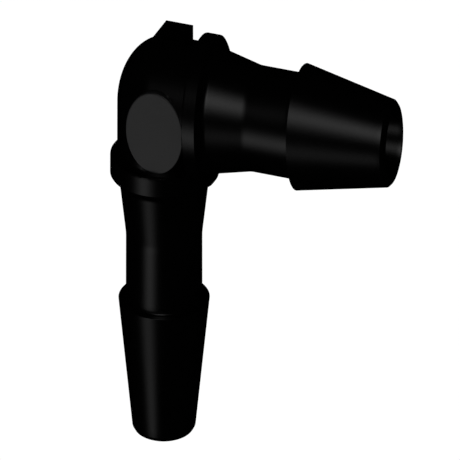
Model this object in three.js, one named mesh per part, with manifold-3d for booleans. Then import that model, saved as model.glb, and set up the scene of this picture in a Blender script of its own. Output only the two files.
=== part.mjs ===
// Barbed elbow connector for 1/4 in micro-irrigation tube.
//
// Frame (millimetres, +Z up):
//   origin  centre of the part's bounding box, on the line halfway between the two tails
//   +X      along the run tail, towards its open end
//   -Z      along the drop tail, towards its open end
//   -Y      out of the side that carries the round pad; y = 0 holds both tail axes
//
// Dimensions are measured from the crossing of the two tail axes, the centre of the ball corner.
// The elbow is one solid. The round pad is a thin disc of its own on a boss of the elbow.
import * as THREE from 'three';
import { mergeVertices } from 'three/addons/utils/BufferGeometryUtils.js';
import Module from 'manifold-3d';

// ---- tails: radii, and distances along the tail from the crossing ----
const BODY_R = 2.9;          // ball corner and the two body cylinders that meet in it
const COLLAR_NEAR = 2.41;    // elbow side of the collar
const COLLAR_FAR = 3.32;     // hose side of the collar
const COLLAR_R = 3.33;
const COLLAR_EDGE = 0.04;    // rounding of the collar rim
const ROOT_R = 2.81;         // tapered root of the tail at the collar
const FLARE_END = 6.08;      // where the taper runs out into the neck
const NECK_R = 2.345;
const BARB_START = 9.045;    // step from the neck up to the barb
const BARB_R = 2.8;
const BARB_EDGE = 0.06;      // chamfer of the barb's widest edge
const TIP_R = 1.935;         // small end of the barb cone
const TIP_START = 14.87;     // where the tip turns in to the end face
const TIP_MID = 15.04;
const TIP_MID_R = 1.8;
const TAIL_END = 15.1;
const END_R = 1.66;          // outer edge of the flat end ring

// ---- waterway ----
const BORE_R = 1.3;
const MOUTH_R = 1.47;        // radius of the bore at the end face
const MOUTH_LENGTH = 1.8;    // length over which the bore widens to it
const MOUTH_OVERRUN = 1;     // the cutter goes on this far past the end face

// ---- round pad and its boss, on the -Y side ----
const PAD_X = 0.445;         // pad centre, moved towards the inside of the elbow
const PAD_Z = -0.435;
const PAD_R = 1.89;
const PAD_FACE_Y = -BODY_R;  // tangent to the ball corner
const PAD_T = 0.25;          // thickness
const PAD_EDGE = 0.06;       // chamfer of the face
const SEAT_Y = PAD_FACE_Y + PAD_T;  // where pad and boss meet
const SEAT_CLEARANCE = 3;    // depth cleared in front of the seat
const BOSS_FOOT_Y = -1.9;    // the boss runs into the body up to here

// ---- rectangular land on top of the corner, mostly on the +Y half ----
const LAND_X0 = -0.80;
const LAND_X1 = 1.07;
const LAND_Y0 = -0.3;
const LAND_Y1 = 2.26;
const LAND_FOOT = 1.3;       // underside, inside the body
const LAND_TOP = BODY_R;     // level with the top of the ball
const LAND_EDGE = 0.1;       // chamfer of the four upright edges

// ---- facets ----
const SEG = 48;              // round the outside shapes
const BALL_ROWS = 24;
const BORE_SEG = 32;
const BORE_BALL_ROWS = 16;
const RIM_STEPS = 3;         // in each rounding of the collar rim

// The bounding box runs from the collars' outer side to the tail ends.
const CROSSING_OFFSET = (TAIL_END - COLLAR_R) / 2;
const CROSSING = new THREE.Vector3(-CROSSING_OFFSET, 0, CROSSING_OFFSET);

// ---- solid helpers ----
const wasm = await Module();
wasm.setup();

// Manifold solid from a closed geometry; without normals and uvs its seams can merge.
function solid(geometry) {
  geometry.deleteAttribute('normal');
  geometry.deleteAttribute('uv');
  const merged = mergeVertices(geometry, 1e-5);
  return new wasm.Manifold(new wasm.Mesh({
    numProp: 3,
    vertProperties: new Float32Array(merged.attributes.position.array),
    triVerts: new Uint32Array(merged.index.array),
  }));
}

function geometryOf(manifold) {
  const { vertProperties, triVerts } = manifold.getMesh();
  const geometry = new THREE.BufferGeometry();
  geometry.setAttribute('position', new THREE.Float32BufferAttribute(vertProperties, 3));
  geometry.setIndex(new THREE.Uint32BufferAttribute(triVerts, 1));
  geometry.computeVertexNormals();
  return geometry;
}

const toPoints = (pairs) => pairs.map(([x, y]) => new THREE.Vector2(x, y));

// Turns [radius, height] pairs about +Y.
const turned = (profile, segments) => new THREE.LatheGeometry(toPoints(profile), segments);

// Swings a shape made along +Y onto each tail axis.
const toRun = (geometry) => geometry.rotateZ(-Math.PI / 2);
const toDrop = (geometry) => geometry.rotateX(-Math.PI / 2);

// ---- elbow, built about the crossing ----

// Quarter circle on the collar rim, as [radius, height] pairs.
function rimArc(centreHeight, startAngle) {
  return Array.from({ length: RIM_STEPS + 1 }, (_, i) => {
    const angle = startAngle + (Math.PI / 2) * i / RIM_STEPS;
    return [
      COLLAR_R - COLLAR_EDGE + COLLAR_EDGE * Math.cos(angle),
      centreHeight + COLLAR_EDGE * Math.sin(angle),
    ];
  });
}

// One tail with its body cylinder and collar.
function tailOuter() {
  return turned([
    [0, 0],
    [BODY_R, 0],
    [BODY_R, COLLAR_NEAR],
    ...rimArc(COLLAR_NEAR + COLLAR_EDGE, -Math.PI / 2),
    ...rimArc(COLLAR_FAR - COLLAR_EDGE, 0),
    [ROOT_R, COLLAR_FAR],
    [NECK_R, FLARE_END],
    [NECK_R, BARB_START],
    [BARB_R - BARB_EDGE, BARB_START],
    [BARB_R, BARB_START + BARB_EDGE],
    [TIP_R, TIP_START],
    [TIP_MID_R, TIP_MID],
    [END_R, TAIL_END],
    [0, TAIL_END],
  ], SEG);
}

// Cutter for the waterway of one tail; the mouth cone keeps its slope past the end face.
function tailBore() {
  const slope = (MOUTH_R - BORE_R) / MOUTH_LENGTH;
  const cutterEnd = TAIL_END + MOUTH_OVERRUN;
  return turned([
    [0, 0],
    [BORE_R, 0],
    [BORE_R, TAIL_END - MOUTH_LENGTH],
    [MOUTH_R + slope * MOUTH_OVERRUN, cutterEnd],
    [0, cutterEnd],
  ], BORE_SEG);
}

function landBlock() {
  const outline = new THREE.Shape(toPoints([
    [LAND_X0 + LAND_EDGE, LAND_Y0],
    [LAND_X1 - LAND_EDGE, LAND_Y0],
    [LAND_X1, LAND_Y0 + LAND_EDGE],
    [LAND_X1, LAND_Y1 - LAND_EDGE],
    [LAND_X1 - LAND_EDGE, LAND_Y1],
    [LAND_X0 + LAND_EDGE, LAND_Y1],
    [LAND_X0, LAND_Y1 - LAND_EDGE],
    [LAND_X0, LAND_Y0 + LAND_EDGE],
  ]));
  const depth = LAND_TOP - LAND_FOOT;
  return new THREE.ExtrudeGeometry(outline, { depth, bevelEnabled: false })
    .translate(0, 0, LAND_FOOT);
}

// Cylinder of the pad's radius on the pad's axis, between two heights in y.
function padCylinder(y0, y1) {
  return new THREE.CylinderGeometry(PAD_R, PAD_R, y1 - y0, SEG)
    .translate(PAD_X, (y0 + y1) / 2, PAD_Z);
}

function elbowSolid() {
  return solid(new THREE.SphereGeometry(BODY_R, SEG, BALL_ROWS))
    .add(solid(toRun(tailOuter())))
    .add(solid(toDrop(tailOuter())))
    .add(solid(landBlock()))
    .add(solid(padCylinder(SEAT_Y, BOSS_FOOT_Y)))
    // clear the space in front of the boss, so that the disc sits on a flat seat
    .subtract(solid(padCylinder(SEAT_Y - SEAT_CLEARANCE, SEAT_Y)))
    .subtract(solid(new THREE.SphereGeometry(BORE_R, BORE_SEG, BORE_BALL_ROWS)))
    .subtract(solid(toRun(tailBore())))
    .subtract(solid(toDrop(tailBore())));
}

// ---- round pad, seat at y = 0 and face at +Y ----
function padSolid() {
  return solid(turned([
    [0, 0],
    [PAD_R, 0],
    [PAD_R, PAD_T - PAD_EDGE],
    [PAD_R - PAD_EDGE, PAD_T],
    [0, PAD_T],
  ], SEG));
}

// ---- scene graph ----
const black = new THREE.MeshStandardMaterial({ color: 0x0b0b0c, roughness: 0.32, metalness: 0 });
const padBlack = new THREE.MeshStandardMaterial({ color: 0x1b1b1c, roughness: 0.4, metalness: 0 });

const group = new THREE.Group();

// Adds a named mesh, placed from the crossing.
function addPiece(name, manifold, material, x, y, z) {
  const mesh = new THREE.Mesh(geometryOf(manifold), material);
  mesh.name = name;
  mesh.position.set(x, y, z).add(CROSSING);
  group.add(mesh);
  return mesh;
}

addPiece('elbow_body', elbowSolid(), black, 0, 0, 0);
const pad = addPiece('round_pad', padSolid(), padBlack, PAD_X, SEAT_Y, PAD_Z);
pad.rotation.x = Math.PI;  // turns the face to -Y

export default group;
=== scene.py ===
import bpy, math
import numpy as np
from mathutils import Matrix, Vector


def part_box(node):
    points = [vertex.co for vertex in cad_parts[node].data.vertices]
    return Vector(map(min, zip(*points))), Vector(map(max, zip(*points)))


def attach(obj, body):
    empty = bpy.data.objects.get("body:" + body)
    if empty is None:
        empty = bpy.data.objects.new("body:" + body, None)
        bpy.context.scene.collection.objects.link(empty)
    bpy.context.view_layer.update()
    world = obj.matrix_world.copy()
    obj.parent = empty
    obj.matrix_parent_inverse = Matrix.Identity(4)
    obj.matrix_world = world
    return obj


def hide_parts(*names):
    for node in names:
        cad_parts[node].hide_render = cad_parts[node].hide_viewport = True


# Barbed elbow connector for 1/4 in tube. Everything is in metres in the row frame; the shape functions below
# work in millimetres from the crossing of the two tail axes.
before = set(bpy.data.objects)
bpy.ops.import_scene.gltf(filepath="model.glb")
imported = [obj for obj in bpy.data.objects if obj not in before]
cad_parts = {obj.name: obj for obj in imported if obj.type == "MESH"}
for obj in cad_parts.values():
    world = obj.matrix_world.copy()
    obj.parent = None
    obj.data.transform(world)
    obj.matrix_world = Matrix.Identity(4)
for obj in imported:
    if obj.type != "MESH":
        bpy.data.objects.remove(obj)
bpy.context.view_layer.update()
MM = 0.001

lo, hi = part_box("elbow_body")
COLLAR_R = 3.33
CROSS = np.array([lo.x / MM + COLLAR_R, 0.0, hi.z / MM - COLLAR_R])      # mm, row frame
FLOOR_Z = lo.z - 0.02 * MM                                              # a hair below the end of the drop tail

# ---- sizes, mm from the crossing ----
BODY_R, C_NEAR, C_FAR, C_EDGE, C_CHAMFER = 2.9, 2.41, 3.32, 0.04, 0.07
ROOT_R, FL_END, NECK_R = 2.81, 6.08, 2.345
B_START, B_R, B_EDGE = 9.075, 2.8, 0.015
T_R, T_START, T_END, END_R, T_MID, T_MID_R = 1.935, 14.87, 15.1, 1.66, 15.04, 1.8
BORE_R, MOUTH_R, MOUTH_L = 1.3, 1.47, 1.8
ROOT_FILLET = 0.42                                                      # between the collar and the root of the tail
PAD_X, PAD_Z, PAD_R, PAD_FACE, SEAT_Y = 0.47, -0.455, 1.885, -2.9, -2.65
LAND_X0, LAND_X1, LAND_Y0, LAND_Y1, LAND_TOP, LAND_FOOT = -0.765, 1.04, -0.3, 2.26, 2.9, 1.3
CUT = 3.95                                                              # where the corner mesh meets the turned tails


# ---- smooth distance field of the corner ----
def smin(a, b, k):
    h = np.maximum(k - np.abs(a - b), 0.0) / k
    return np.minimum(a, b) - h * h * k * 0.25


def smax(a, b, k):
    return -smin(-a, -b, k)


def box2(qx, qy, rad):
    return np.hypot(np.maximum(qx + rad, 0), np.maximum(qy + rad, 0)) + np.minimum(np.maximum(qx, qy) + rad, 0) - rad


SLOPE = (ROOT_R - NECK_R) / (FL_END - C_FAR)


def root_radius(a):
    return ROOT_R - SLOPE * (a - C_FAR)


def tail_sdf(a, r):
    collar = box2(C_NEAR - a, r - COLLAR_R, C_EDGE)                     # rounded on the elbow side, chamfered on the hose side
    collar = np.maximum(collar, np.maximum(a - C_FAR, (a - C_FAR + r - COLLAR_R + C_CHAMFER) * math.sqrt(0.5)))
    root = np.maximum((r - root_radius(a)) / math.sqrt(1 + SLOPE * SLOPE), C_NEAR + 0.4 - a)
    d = np.minimum(collar, root)
    # round fillet between the far face of the collar and the tapered root
    u, v = a - C_FAR, (r - root_radius(a)) / math.sqrt(1 + SLOPE * SLOPE)
    f = ROOT_FILLET
    inside = (u < f) & (v < f) & (u > -0.3) & (v > -0.3) & (a > C_FAR - 0.2)
    fil = f - np.hypot(np.maximum(f - u, 0), np.maximum(f - v, 0))
    d = np.where(inside, np.minimum(d, np.maximum(fil, -0.05)), d)
    return d


def corner_sdf(p):
    x, y, z = p[..., 0], p[..., 1], p[..., 2]
    rx, rz = np.hypot(y, z), np.hypot(x, y)
    cx = np.maximum(np.sqrt(np.minimum(x, 0) ** 2 + y * y + z * z) - BODY_R, x - 2.9)
    cz = np.maximum(np.sqrt(x * x + y * y + np.maximum(z, 0) ** 2) - BODY_R, -z - 2.9)
    run = np.minimum(cx, tail_sdf(x, rx))
    drop = np.minimum(cz, tail_sdf(-z, rz))
    d = smin(run, drop, 0.001 + 0.2 * np.clip((x - z) / 2.9 - 1.0, 0, 1))    # the collars run together at the inner corner
    e = 0.03
    q = np.stack([np.abs(v - (b + a) / 2) - (b - a) / 2 for v, a, b in
                  ((x, LAND_X0, LAND_X1), (y, LAND_Y0, LAND_Y1), (z, LAND_FOOT, LAND_TOP))], -1) + e
    land = np.linalg.norm(np.maximum(q, 0), axis=-1) + np.minimum(q.max(-1), 0) - e
    d = smin(d, land, 0.05 + 0.1 * np.clip(y - 0.3, 0, 1))
    rp = np.hypot(x - PAD_X, z - PAD_Z)
    boss = np.maximum(rp - PAD_R, np.maximum(SEAT_Y - y, y + 1.2))
    d = np.minimum(d, boss)
    seat = np.maximum(rp - PAD_R, y - SEAT_Y)
    d = np.maximum(d, -seat)
    bx = np.where(x > 0, rx, np.sqrt(x * x + y * y + z * z)) - BORE_R
    bz = np.where(z < 0, rz, np.sqrt(x * x + y * y + z * z)) - BORE_R
    return np.maximum(d, -np.minimum(bx, bz))


def gradient(p):
    e = 2e-4
    g = np.stack([corner_sdf(p + np.array(v) * e) - corner_sdf(p - np.array(v) * e)
                  for v in ((1, 0, 0), (0, 1, 0), (0, 0, 1))], -1) / (2 * e)
    return g


def corner_mesh(step):
    """Quads of the corner, open on the two planes a = CUT (outer skin and waterway)."""
    n_hi = lambda a, b: int(math.ceil((b - a) / step))
    x0, y0, z1 = -3.6, -3.6, 3.6
    nx, ny, nz = n_hi(x0, CUT), n_hi(y0, 3.6), n_hi(-CUT, z1)
    X = CUT - step * np.arange(nx, -1, -1.0)
    Y = y0 + step * np.arange(ny + 1)
    Z = -CUT + step * np.arange(nz + 1)
    P = np.stack(np.meshgrid(X, Y, Z, indexing="ij"), -1)
    S = np.empty(P.shape[:3])
    for i in range(P.shape[0]):
        S[i] = corner_sdf(P[i])
    inside = S < 0
    # one vertex per cell that is crossed, where the planes through its edge crossings meet
    shape = tuple(n - 1 for n in S.shape)
    ids, pts, nrms = [], [], []
    for ax in range(3):
        a = [slice(None)] * 3
        b = [slice(None)] * 3
        a[ax], b[ax] = slice(0, -1), slice(1, None)
        s0, s1 = S[tuple(a)], S[tuple(b)]
        I = np.argwhere((s0 < 0) != (s1 < 0))
        v0, v1 = s0[tuple(I.T)], s1[tuple(I.T)]
        pa, pb = P[tuple(a)][tuple(I.T)], P[tuple(b)][tuple(I.T)]
        t = (v0 / (v0 - v1))[:, None]
        pt = pa + t * (pb - pa)
        for _ in range(3):                                              # bisect towards the skin from the better side
            v = corner_sdf(pt)
            low = (v < 0) == (v0 < 0)
            pa = np.where(low[:, None], pt, pa)
            v0 = np.where(low, v, v0)
            pb = np.where(low[:, None], pb, pt)
            v1 = np.where(low, v1, v)
            t = np.clip(v0 / np.where(v0 == v1, 1.0, v0 - v1), 0.02, 0.98)[:, None]
            pt = pa + t * (pb - pa)
        g = gradient(pt)
        g /= np.linalg.norm(g, axis=-1, keepdims=True) + 1e-12
        others = [k for k in range(3) if k != ax]
        for du in (0, 1):
            for dv in (0, 1):
                J = I.copy()
                J[:, others[0]] -= du
                J[:, others[1]] -= dv
                ok = ((J >= 0) & (J < np.array(shape))).all(1)
                ids.append(np.ravel_multi_index(tuple(J[ok].T), shape))
                pts.append(pt[ok])
                nrms.append(g[ok])
    ids, pts, nrms = np.concatenate(ids), np.concatenate(pts), np.concatenate(nrms)
    cells, inv = np.unique(ids, return_inverse=True)
    nc = len(cells)
    total = lambda w: np.bincount(inv, weights=w, minlength=nc)
    cnt = total(np.ones(len(inv)))
    mean = np.stack([total(pts[:, k]) for k in range(3)], -1) / cnt[:, None]
    nsum = np.stack([total(nrms[:, k]) for k in range(3)], -1)
    off = (nrms * (pts - mean[inv])).sum(-1)
    A = np.empty((nc, 3, 3))
    B = np.empty((nc, 3))
    for i in range(3):
        B[:, i] = total(nrms[:, i] * off)
        for j in range(i, 3):
            A[:, i, j] = A[:, j, i] = total(nrms[:, i] * nrms[:, j])
    A += 0.03 * np.eye(3)
    shift = np.linalg.solve(A, B[..., None])[..., 0]
    shift *= np.minimum(1.0, 0.9 * step / (np.linalg.norm(shift, axis=-1, keepdims=True) + 1e-12))
    verts = mean + shift
    crease = np.linalg.norm(nsum, axis=-1) / cnt < 0.975
    index = -np.ones(int(np.prod(shape)), int)
    index[cells] = np.arange(nc)
    index = index.reshape(shape)
    quads = []
    for ax in range(3):
        o1, o2 = (ax + 1) % 3, (ax + 2) % 3
        a = [slice(None)] * 3
        b = [slice(None)] * 3
        a[ax], b[ax] = slice(0, -1), slice(1, None)
        cross = inside[tuple(a)] != inside[tuple(b)]
        down = inside[tuple(a)] & ~inside[tuple(b)]
        I = np.argwhere(cross)
        ok = (I[:, o1] > 0) & (I[:, o2] > 0) & (I[:, o1] < S.shape[o1] - 1) & (I[:, o2] < S.shape[o2] - 1)
        I = I[ok]

        def cell(d1, d2):
            J = I.copy()
            J[:, o1] -= d1
            J[:, o2] -= d2
            return index[J[:, 0], J[:, 1], J[:, 2]]

        q = np.stack([cell(1, 1), cell(0, 1), cell(0, 0), cell(1, 0)], -1)
        flip = ~down[I[:, 0], I[:, 1], I[:, 2]]
        q[flip] = q[flip][:, ::-1]
        quads.append(q)
    quads = np.concatenate(quads)
    return verts, quads, set(np.nonzero(crease)[0].tolist())


def boundary_loops(quads):
    """Open edges as ordered loops of vertex indices."""
    e = np.concatenate([quads[:, [0, 1]], quads[:, [1, 2]], quads[:, [2, 3]], quads[:, [3, 0]]])
    key = {}
    for a, b in e.tolist():
        key[(a, b)] = key.get((a, b), 0) + 1
    nxt = {}
    for (a, b) in key:
        if (b, a) not in key:
            nxt[a] = b
    loops, seen = [], set()
    for s in list(nxt):
        if s in seen:
            continue
        loop = [s]
        seen.add(s)
        c = nxt[s]
        while c != s and c in nxt and c not in seen:
            loop.append(c)
            seen.add(c)
            c = nxt[c]
        loops.append(loop)
    return loops


def settle(verts, quads, fixed, rounds):
    """Evens the mesh out along the skin and puts every vertex back on the skin."""
    n = len(verts)
    e = np.concatenate([quads[:, [0, 1]], quads[:, [1, 2]], quads[:, [2, 3]], quads[:, [3, 0]]])
    e = np.concatenate([e, e[:, ::-1]])
    deg = np.bincount(e[:, 0], minlength=n).astype(float)
    free = np.ones(n, bool)
    free[list(fixed)] = False
    for it in range(rounds):
        mean = np.stack([np.bincount(e[:, 0], weights=verts[e[:, 1], k], minlength=n) for k in range(3)], -1) / deg[:, None]
        g = gradient(verts)
        nrm = g / (np.linalg.norm(g, axis=-1, keepdims=True) + 1e-9)
        step = mean - verts
        step -= nrm * (step * nrm).sum(-1, keepdims=True)
        verts[free] += 0.6 * step[free]
        for _ in range(2):
            g = gradient(verts)
            s = corner_sdf(verts)
            g2 = (g * g).sum(-1) + 1e-9
            move = -(s / g2)[:, None] * g
            ln = np.linalg.norm(move, axis=-1, keepdims=True)
            move *= np.minimum(1.0, 0.05 / (ln + 1e-9))
            verts[free] += move[free]
    return verts


# ---- turned profile of a tail, outside then mouth then waterway, from CUT outwards ----
def arc(ca, cr, rad, t0, t1, n):
    t = np.linspace(t0, t1, n)
    return [(ca + rad * math.cos(x), cr + rad * math.sin(x)) for x in t]


def line(p, q, n):
    t = np.linspace(0, 1, n + 1)[:-1]
    return [(p[0] + (q[0] - p[0]) * x, p[1] + (q[1] - p[1]) * x) for x in t]


def blend_corner(p, c, q, rad, n):
    """A rounded corner at c between the directions to p and q."""
    p, c, q = (np.array(v, float) for v in (p, c, q))
    u, v = (p - c) / np.linalg.norm(p - c), (q - c) / np.linalg.norm(q - c)
    half = math.acos(max(-1, min(1, float(u @ v)))) / 2
    d = rad / math.tan(half)
    a, b = c + u * d, c + v * d
    cen = c + (u + v) / np.linalg.norm(u + v) * rad / math.sin(half)
    t0 = math.atan2(*(a - cen)[::-1])
    t1 = math.atan2(*(b - cen)[::-1])
    dt = (t1 - t0 + math.pi) % (2 * math.pi) - math.pi
    return [tuple(cen + rad * np.array([math.cos(t0 + dt * k / n), math.sin(t0 + dt * k / n)])) for k in range(n + 1)]


def between(p, q, d):
    """The point at distance d from p towards q: it holds the shading up to an edge."""
    p, q = np.array(p), np.array(q)
    return tuple(p + (q - p) / np.linalg.norm(q - p) * d)


def tail_profile(first):
    h = math.pi / 2
    start = (first, root_radius(first))
    fl = (FL_END, NECK_R)
    neck = (B_START, NECK_R)
    back = (B_START, B_R)
    cone_end = (T_START, T_R)
    end_out = (T_END, END_R)
    mouth = (T_END, MOUTH_R)
    throat = (T_END - MOUTH_L, BORE_R)
    barb = blend_corner(neck, back, cone_end, B_EDGE, 5)
    mid = (T_MID, T_MID_R)
    tip = blend_corner(back, cone_end, mid, 0.05, 4)
    shoulder = blend_corner(cone_end, mid, end_out, 0.15, 4)
    rim = blend_corner(mid, end_out, mouth, 0.06, 5)
    lip = blend_corner(end_out, mouth, throat, 0.03, 4)
    inner = blend_corner(mouth, throat, (first, BORE_R), 2.0, 6)
    foot = blend_corner(fl, neck, back, 0.09, 8)
    bend = blend_corner(start, fl, neck, 2.2, 8)
    p = line(start, bend[0], 9) + bend
    p += line(bend[-1], foot[0], 8)[1:] + foot
    p += line(foot[-1], barb[0], 4)[1:] + [between(barb[0], foot[-1], 0.01)] + barb
    p += [between(barb[-1], tip[0], 0.01)] + line(barb[-1], tip[0], 18)[1:] + tip
    p += line(tip[-1], shoulder[0], 3)[1:] + shoulder
    p += line(shoulder[-1], rim[0], 2)[1:] + rim
    p += line(rim[-1], lip[0], 2)[1:] + lip
    p += line(lip[-1], inner[0], 6)[1:] + inner
    p += line(inner[-1], (first, BORE_R), 14)[1:] + [(first, BORE_R)]
    p = np.array(p)
    # drop points that coincide
    keep = [0]
    for i in range(1, len(p)):
        if np.hypot(*(p[i] - p[keep[-1]])) > 1e-4:
            keep.append(i)
    return p[keep]


NSEG = 168


def seam(theta, a, r, outer):
    """Height of the mould parting line on a tail: a fine low witness line at y = 0."""
    w = 0.035 / np.maximum(r, 0.5)
    d = np.abs((theta + math.pi / 2) % math.pi - math.pi / 2)
    return 0.012 * np.exp(-(d / w) ** 2) if outer else 0.0


def angles():
    t = np.linspace(0, 2 * math.pi, NSEG, endpoint=False)
    # finer beside the parting line, theta = 0 and pi
    return t - 0.42 * np.sin(2 * t) / 2


def tail_mesh(first, to_xyz):
    prof = tail_profile(first)
    th = angles()
    A = np.repeat(prof[:, 0][:, None], NSEG, 1)
    R = np.repeat(prof[:, 1][:, None], NSEG, 1)
    T = np.repeat(th[None], len(prof), 0)
    outer_i = int(np.argmin(np.hypot(prof[:, 0] - T_END, prof[:, 1] - END_R)))
    fade = np.zeros(len(prof))
    fade[:outer_i + 1] = 1
    fade[:outer_i + 1] *= np.clip((prof[:outer_i + 1, 0] - first) / 0.25, 0, 1) * np.clip((T_END - prof[:outer_i + 1, 0]) / 0.35, 0, 1)
    R = R + seam(T, A, R, True) * fade[:, None]
    verts = to_xyz(A, R, T).reshape(-1, 3)
    m = len(prof)
    i, j = np.meshgrid(np.arange(m - 1), np.arange(NSEG), indexing="ij")
    j2 = (j + 1) % NSEG
    quads = np.stack([i * NSEG + j, i * NSEG + j2, (i + 1) * NSEG + j2, (i + 1) * NSEG + j], -1).reshape(-1, 4)
    return verts, quads, np.arange(NSEG), (m - 1) * NSEG + np.arange(NSEG), th


def run_xyz(a, r, t):
    return np.stack([a, r * np.sin(t), r * np.cos(t)], -1)


def drop_xyz(a, r, t):
    return np.stack([r * np.cos(t), r * np.sin(t), -a], -1)


def zipper(ia, ta, ib, tb):
    """Triangles between two rings of vertices given by index and angle, both sorted by angle."""
    tris, i, j, na, nb = [], 0, 0, len(ia), len(ib)
    while i < na or j < nb:
        ca = ta[i + 1] if i + 1 < na else ta[0] + 2 * math.pi
        cb = tb[j + 1] if j + 1 < nb else tb[0] + 2 * math.pi
        if j >= nb or (i < na and ca <= cb):
            tris.append((ia[i % na], ia[(i + 1) % na], ib[j % nb]))
            i += 1
        else:
            tris.append((ia[i % na], ib[(j + 1) % nb], ib[j % nb]))
            j += 1
    return tris


def elbow_geometry(step):
    cv, cq, crease = corner_mesh(step)
    loops = boundary_loops(cq)
    rings = {}
    fixed = set()
    for lp in loops:
        c = cv[lp].mean(0)
        rr = None
        if c[0] > CUT - 0.5 and abs(c[2]) < 1.0:
            th = np.arctan2(cv[lp, 1], cv[lp, 2])
            rr = np.hypot(cv[lp, 1], cv[lp, 2]).mean()
            name, a, xyz = "run", CUT - step / 2, run_xyz
        elif c[2] < -CUT + 0.5 and abs(c[0]) < 1.0:
            th = np.arctan2(cv[lp, 1], cv[lp, 0])
            rr = np.hypot(cv[lp, 1], cv[lp, 0]).mean()
            name, a, xyz = "drop", CUT - step / 2, drop_xyz
        else:
            raise RuntimeError("an open edge away from the tails at %s" % c)
        outer = rr > 2
        r = root_radius(a) if outer else BORE_R
        cv[lp] = xyz(np.full(len(lp), a), np.full(len(lp), r), th)
        order = np.argsort(th)
        rings[(name, outer)] = (np.array(lp)[order], th[order])
        fixed |= set(lp)
    cv = settle(cv, cq, fixed | crease, 6)
    verts, faces = [cv], [tuple(q) for q in cq.tolist()]
    off = len(cv)
    for name, xyz in (("run", run_xyz), ("drop", drop_xyz)):
        tv, tq, first, last, th = tail_mesh(CUT + 0.02, xyz)
        # a point just outside the skin tells which way the faces turn
        a, b, c = tv[tq[5, 0]], tv[tq[5, 1]], tv[tq[5, 2]]
        nrm = np.cross(b - a, c - a)
        axis_pt = a.copy()
        axis_pt[1] = 0
        if name == "run":
            axis_pt[2] = 0
        else:
            axis_pt[0] = 0
        inward = nrm @ (a - axis_pt) < 0
        q = tq + off
        if inward:
            q = q[:, ::-1]
        faces += [tuple(x) for x in q.tolist()]
        verts.append(tv)
        ths = (th + math.pi) % (2 * math.pi) - math.pi
        order = np.argsort(ths)
        for outer, ring in ((True, first), (False, last)):
            li, lt = rings[(name, outer)]
            tris = zipper(li, lt, (ring + off)[order], ths[order])
            V = np.concatenate(verts)
            t = tris[0]
            nn = np.cross(V[t[1]] - V[t[0]], V[t[2]] - V[t[0]])
            p0 = V[t[0]].copy()
            ax0 = p0.copy()
            ax0[1] = 0
            ax0[2 if name == "run" else 0] = 0
            out = nn @ (p0 - ax0) > 0
            if out != outer:
                tris = [tuple(reversed(x)) for x in tris]
            faces += [tuple(int(k) for k in x) for x in tris]
        off += len(tv)
    return np.concatenate(verts), faces


def pad_geometry():
    """The round disc in its seat, flat, with a rounded rim."""
    t, e = SEAT_Y - PAD_FACE, 0.05
    prof = [(0.0, 0.0)]
    prof += [(r, 0.0) for r in np.linspace(0.0, PAD_R - e, 34)[1:-1]]
    prof += arc(PAD_R - e, e, e, -math.pi / 2, 0.0, 6)
    prof += [(PAD_R, z) for z in np.linspace(e, t, 5)[1:]]
    prof += [(r, t) for r in np.linspace(PAD_R, 0, 12)[1:-1]] + [(0.0, t)]
    prof = np.array(prof)
    n = 192
    th = np.linspace(0, 2 * math.pi, n, endpoint=False)
    verts, faces = [], []
    ring = []
    for k, (r, h) in enumerate(prof):
        if r < 1e-9:
            verts.append((PAD_X, PAD_FACE + h, PAD_Z))
            ring.append([len(verts) - 1])
        else:
            s = len(verts)
            verts += [(PAD_X + r * math.cos(a), PAD_FACE + h, PAD_Z + r * math.sin(a)) for a in th]
            ring.append(list(range(s, s + n)))
    for a, b in zip(ring[:-1], ring[1:]):
        for j in range(n):
            j2 = (j + 1) % n
            if len(a) == 1:
                faces.append((a[0], b[j], b[j2]))
            elif len(b) == 1:
                faces.append((a[j], b[0], a[j2]))
            else:
                faces.append((a[j], b[j], b[j2], a[j2]))
    verts = np.array(verts)
    f = faces[0]
    nn = np.cross(verts[f[1]] - verts[f[0]], verts[f[2]] - verts[f[0]])
    if nn[1] > 0:
        faces = [tuple(reversed(x)) for x in faces]
    return verts, faces


def make_object(name, verts_mm, faces):
    me = bpy.data.meshes.new(name)
    me.from_pydata(((verts_mm + CROSS) * MM).tolist(), [], faces)
    me.validate()
    me.update()
    me.polygons.foreach_set("use_smooth", [True] * len(me.polygons))
    me.set_sharp_from_angle(angle=math.radians(34))
    ob = bpy.data.objects.new(name, me)
    bpy.context.scene.collection.objects.link(ob)
    return ob


STEP = 0.072
ev, ef = elbow_geometry(STEP)
elbow = make_object("elbow_moulding", ev, ef)
pv, pf = pad_geometry()
pad = make_object("pad_disc", pv, pf)
print("verts", len(ev), "faces", len(ef))


# ---- materials ----
def nodes_of(mat):
    mat.use_nodes = True
    nt = mat.node_tree
    nt.nodes.clear()
    return nt


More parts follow.
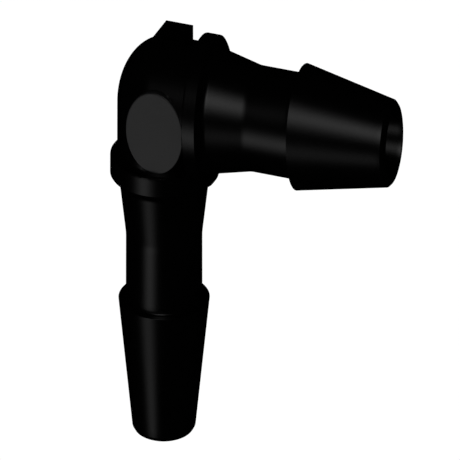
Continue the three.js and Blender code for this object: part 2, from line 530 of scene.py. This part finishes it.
def black_plastic(name, base, rough, grain, ior, open_bore=False):
    mat = bpy.data.materials.new(name)
    nt = nodes_of(mat)
    N, L = nt.nodes, nt.links
    out = N.new("ShaderNodeOutputMaterial")
    bs = N.new("ShaderNodeBsdfPrincipled")
    tc = N.new("ShaderNodeTexCoord")
    L.new(bs.outputs[0], out.inputs[0])

    def noise(scale, detail, rough_=0.5, vec=None):
        n = N.new("ShaderNodeTexNoise")
        n.inputs["Scale"].default_value = scale
        n.inputs["Detail"].default_value = detail
        n.inputs["Roughness"].default_value = rough_
        L.new(vec or tc.outputs["Object"], n.inputs["Vector"])
        return n

    def ramp(src, a, b, lo_, hi_):
        r = N.new("ShaderNodeMapRange")
        r.inputs["From Min"].default_value = a
        r.inputs["From Max"].default_value = b
        r.inputs["To Min"].default_value = lo_
        r.inputs["To Max"].default_value = hi_
        L.new(src, r.inputs["Value"])
        return r.outputs["Result"]

    fine = noise(9000, 3)
    cloud = noise(420, 2)
    # flow lines: noise stretched along the tails
    mp = N.new("ShaderNodeMapping")
    mp.inputs["Scale"].default_value = (1.0, 6.0, 1.0)
    L.new(tc.outputs["Object"], mp.inputs["Vector"])
    flow = noise(260, 3, 0.6, mp.outputs[0])
    # colour
    mix = N.new("ShaderNodeMix")
    mix.data_type = "RGBA"
    mix.inputs["A"].default_value = (*[c * 0.75 for c in base], 1)
    mix.inputs["B"].default_value = (*[c * 1.3 for c in base], 1)
    L.new(cloud.outputs["Fac"], mix.inputs["Factor"])
    # edges rubbed a little lighter
    bev = N.new("ShaderNodeBevel")
    bev.samples = 4
    bev.inputs["Radius"].default_value = 0.00012
    geo = N.new("ShaderNodeNewGeometry")
    dot = N.new("ShaderNodeVectorMath")
    dot.operation = "DOT_PRODUCT"
    L.new(bev.outputs[0], dot.inputs[0])
    L.new(geo.outputs["Normal"], dot.inputs[1])
    edge = ramp(dot.outputs["Value"], 0.85, 1.0, 1.0, 0.0)
    em = N.new("ShaderNodeMath")
    em.operation = "MULTIPLY"
    L.new(edge, em.inputs[0])
    L.new(ramp(flow.outputs["Fac"], 0.4, 0.7, 0.0, 0.6), em.inputs[1])
    wear = N.new("ShaderNodeMix")
    wear.data_type = "RGBA"
    L.new(em.outputs[0], wear.inputs["Factor"])
    L.new(mix.outputs["Result"], wear.inputs["A"])
    wear.inputs["B"].default_value = (base[0] * 2.5, base[1] * 2.5, base[2] * 2.5, 1)
    L.new(wear.outputs["Result"], bs.inputs["Base Color"])
    # roughness
    ra = N.new("ShaderNodeMath")
    ra.operation = "ADD"
    L.new(ramp(cloud.outputs["Fac"], 0.1, 0.9, rough - 0.03, rough + 0.03), ra.inputs[0])
    L.new(ramp(flow.outputs["Fac"], 0.05, 0.95, -0.02, 0.035), ra.inputs[1])
    L.new(ra.outputs[0], bs.inputs["Roughness"])
    bs.inputs["IOR"].default_value = ior
    bump = N.new("ShaderNodeBump")
    bump.inputs["Strength"].default_value = grain
    bump.inputs["Distance"].default_value = 0.00002
    L.new(fine.outputs["Fac"], bump.inputs["Height"])
    L.new(bump.outputs[0], bs.inputs["Normal"])
    if open_bore:
        # reflections in the waterway reach the lights through its walls; everywhere else the part blocks them
        def calc(op, a, b):
            n = N.new("ShaderNodeMath")
            n.operation = op
            for k, v in enumerate((a, b)):
                if isinstance(v, (int, float)):
                    n.inputs[k].default_value = v
                else:
                    L.new(v, n.inputs[k])
            return n.outputs[0]

        sp = N.new("ShaderNodeSeparateXYZ")
        L.new(tc.outputs["Object"], sp.inputs[0])
        rad = (MOUTH_R + 0.06) * MM
        dx = calc("SUBTRACT", sp.outputs["X"], float(CROSS[0]) * MM)
        dz = calc("SUBTRACT", sp.outputs["Z"], float(CROSS[2]) * MM)
        yy = calc("MULTIPLY", sp.outputs["Y"], sp.outputs["Y"])
        run_in = calc("LESS_THAN", calc("ADD", yy, calc("MULTIPLY", dz, dz)), rad * rad)
        run_in = calc("MULTIPLY", run_in, calc("GREATER_THAN", dx, -rad))
        drop_in = calc("LESS_THAN", calc("ADD", yy, calc("MULTIPLY", dx, dx)), rad * rad)
        drop_in = calc("MULTIPLY", drop_in, calc("LESS_THAN", dz, rad))
        path = N.new("ShaderNodeLightPath")
        see = calc("MAXIMUM", calc("MAXIMUM", run_in, drop_in), geo.outputs["Backfacing"])
        see = calc("MULTIPLY", see, path.outputs["Is Glossy Ray"])
        clear = N.new("ShaderNodeBsdfTransparent")
        ms = N.new("ShaderNodeMixShader")
        L.new(see, ms.inputs[0])
        L.new(bs.outputs[0], ms.inputs[1])
        L.new(clear.outputs[0], ms.inputs[2])
        L.new(ms.outputs[0], out.inputs[0])
    return mat


m_body = black_plastic("black_moulding_plastic", (0.0022, 0.0022, 0.0024), 0.22, 0.12, 1.5, open_bore=True)
m_pad = black_plastic("pad_plastic", (0.03, 0.03, 0.031), 0.24, 0.2, 1.56)
elbow.data.materials.append(m_body)
pad.data.materials.append(m_pad)

for o, node, sl in ((elbow, "elbow_body", "black_moulding"), (pad, "round_pad", "pad")):
    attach(o, "root")
    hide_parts(node)

# ---- floor ----
fm = bpy.data.meshes.new("floor")
s = 0.6
fm.from_pydata([(-s, -s, FLOOR_Z), (s, -s, FLOOR_Z), (s, s * 3, FLOOR_Z), (-s, s * 3, FLOOR_Z)], [], [(0, 1, 2, 3)])
floor = bpy.data.objects.new("floor", fm)
bpy.context.scene.collection.objects.link(floor)
mat = bpy.data.materials.new("floor_paint")
nt = nodes_of(mat)
out = nt.nodes.new("ShaderNodeOutputMaterial")
em = nt.nodes.new("ShaderNodeEmission")
em.inputs["Color"].default_value = (1, 1, 1, 1)
em.inputs["Strength"].default_value = 1.02
geo = nt.nodes.new("ShaderNodeNewGeometry")
clear = nt.nodes.new("ShaderNodeBsdfTransparent")
one_side = nt.nodes.new("ShaderNodeMixShader")                          # the floor is seen from above only
nt.links.new(geo.outputs["Backfacing"], one_side.inputs[0])
nt.links.new(em.outputs[0], one_side.inputs[1])
nt.links.new(clear.outputs[0], one_side.inputs[2])
nt.links.new(one_side.outputs[0], out.inputs[0])
fm.materials.append(mat)
floor.visible_glossy = False
floor.visible_diffuse = False
floor.visible_shadow = False

# ---- world: soft boxes seen only in reflections ----
w = bpy.data.worlds.new("studio")
bpy.context.scene.world = w
w.use_nodes = True
nt = w.node_tree
nt.nodes.clear()
N, L = nt.nodes, nt.links
wout = N.new("ShaderNodeOutputWorld")
bg = N.new("ShaderNodeBackground")
L.new(bg.outputs[0], wout.inputs[0])
wtc = N.new("ShaderNodeTexCoord")
sep = N.new("ShaderNodeSeparateXYZ")
L.new(wtc.outputs["Generated"], sep.inputs[0])


def math_node(op, a, b=None, c=None):
    n = N.new("ShaderNodeMath")
    n.operation = op
    for k, v in enumerate((a, b, c)):
        if v is None:
            continue
        if isinstance(v, (int, float)):
            n.inputs[k].default_value = v
        else:
            L.new(v, n.inputs[k])
    return n.outputs[0]


negy = math_node("MULTIPLY", sep.outputs["Y"], -1.0)
azim = math_node("ARCTAN2", sep.outputs["X"], negy)                    # 0 at -Y, + towards +X
elev = math_node("ARCSINE", sep.outputs["Z"])


def soft_light(az, el, saz, sel, power):
    """A soft light seen in reflections: brightest at (az, el), falling off like a bell."""
    da = math_node("DIVIDE", math_node("SUBTRACT", azim, math.radians(az)), math.radians(saz))
    de = math_node("DIVIDE", math_node("SUBTRACT", elev, math.radians(el)), math.radians(sel))
    q = math_node("ADD", math_node("MULTIPLY", da, da), math_node("MULTIPLY", de, de))
    return math_node("MULTIPLY", math_node("POWER", math.e, math_node("MULTIPLY", q, -0.5)), power)


def smooth(v, a, b, lo_, hi_):
    n = N.new("ShaderNodeMapRange")
    n.interpolation_type = "SMOOTHSTEP"
    n.inputs["From Min"].default_value = a
    n.inputs["From Max"].default_value = b
    n.inputs["To Min"].default_value = lo_
    n.inputs["To Max"].default_value = hi_
    L.new(v, n.inputs["Value"])
    return n.outputs["Result"]


low_box = soft_light(-23, -26.5, 11.0, 10.2, 0.60)
high_box = soft_light(8, 37.5, 12.0, 11.2, 1.22)
total = math_node("ADD", low_box, high_box)
# fill for every view but the main one
fill = N.new("ShaderNodeValue")
fill.name = fill.label = "fill"
top = smooth(elev, math.radians(15), math.radians(75), 0.03, 0.5)
side1 = soft_light(130, 25, 16, 26, 0.6)
side2 = soft_light(-130, 25, 16, 26, 0.6)
under = smooth(elev, math.radians(-60), math.radians(-5), 0.10, 0.0)
fills = math_node("ADD", math_node("ADD", top, under), math_node("ADD", side1, side2))
total = math_node("ADD", total, math_node("MULTIPLY", fills, fill.outputs[0]))
lp = N.new("ShaderNodeLightPath")
seen = math_node("MULTIPLY", total, lp.outputs["Is Glossy Ray"])
seen = math_node("ADD", seen, math_node("MULTIPLY", lp.outputs["Is Diffuse Ray"], 0.1))
seen = math_node("ADD", seen, math_node("MULTIPLY", lp.outputs["Is Camera Ray"], 1.02))
L.new(seen, bg.inputs["Strength"])
bg.inputs["Color"].default_value = (1, 1, 1, 1)
w.cycles.sampling_method = "NONE"

# ---- camera ----
AZ, EL, ROLL, CA, CE, DIST, FPX, PX, PY = (0.3668788030448238, -0.4223397098617877, -0.0029582679054812005,
                                          0.375578441740565, 0.3591391179837968, 0.8,
                                          9207.720538020883, 242.8448068246837, -9035.639983785026)
SIDE = 460.0
back = Vector((math.sin(AZ) * math.cos(EL), -math.cos(AZ) * math.cos(EL), math.sin(EL)))
r0 = Vector((math.cos(AZ), math.sin(AZ), 0))
u0 = Vector((-math.sin(AZ) * math.sin(EL), math.cos(AZ) * math.sin(EL), math.cos(EL)))
right = math.cos(ROLL) * r0 + math.sin(ROLL) * u0
up = -math.sin(ROLL) * r0 + math.cos(ROLL) * u0
cam_data = bpy.data.cameras.new("camera")
cam = bpy.data.objects.new("camera", cam_data)
bpy.context.scene.collection.objects.link(cam)
bpy.context.scene.camera = cam
cam_data.sensor_width = 36.0
cam_data.sensor_fit = "HORIZONTAL"
cam_data.lens = FPX * 36.0 / SIDE
cam_data.clip_start, cam_data.clip_end = 0.01, 20.0
pos = Vector(CROSS * MM) + DIST * Vector((math.sin(CA) * math.cos(CE), -math.cos(CA) * math.cos(CE), math.sin(CE)))
cam.rotation_mode = "XYZ"
m = Matrix((right, up, back)).transposed()
cam.matrix_world = Matrix.Translation(pos) @ m.to_4x4()


def by_mode(owner, path, at_zero, above):
    # the value is at_zero while the camera turns by quaternion, as it does when it is placed anew for another angle,
    # and above while it stands where this script puts it
    fc = owner.driver_add(path)
    fc.driver.type = "SUM"
    v = fc.driver.variables.new()
    v.name = "mode"
    v.type = "SINGLE_PROP"
    v.targets[0].id = cam
    v.targets[0].data_path = "rotation_mode"
    for mod in list(fc.modifiers):
        fc.modifiers.remove(mod)
    fc.keyframe_points.clear()
    for x, y in ((0.0, at_zero), (1.0, above)):
        fc.keyframe_points.insert(x, y).interpolation = "LINEAR"
    fc.extrapolation = "CONSTANT"


cam_data.shift_x = (SIDE / 2 - PX) / SIDE
cam_data.shift_y = (PY - SIDE / 2) / SIDE
by_mode(cam_data, "shift_x", 0.0, cam_data.shift_x)
by_mode(cam_data, "shift_y", 0.0, cam_data.shift_y)
by_mode(fill.outputs[0], "default_value", 1.0, 0.0)

bpy.context.scene.view_settings.view_transform = "Standard"
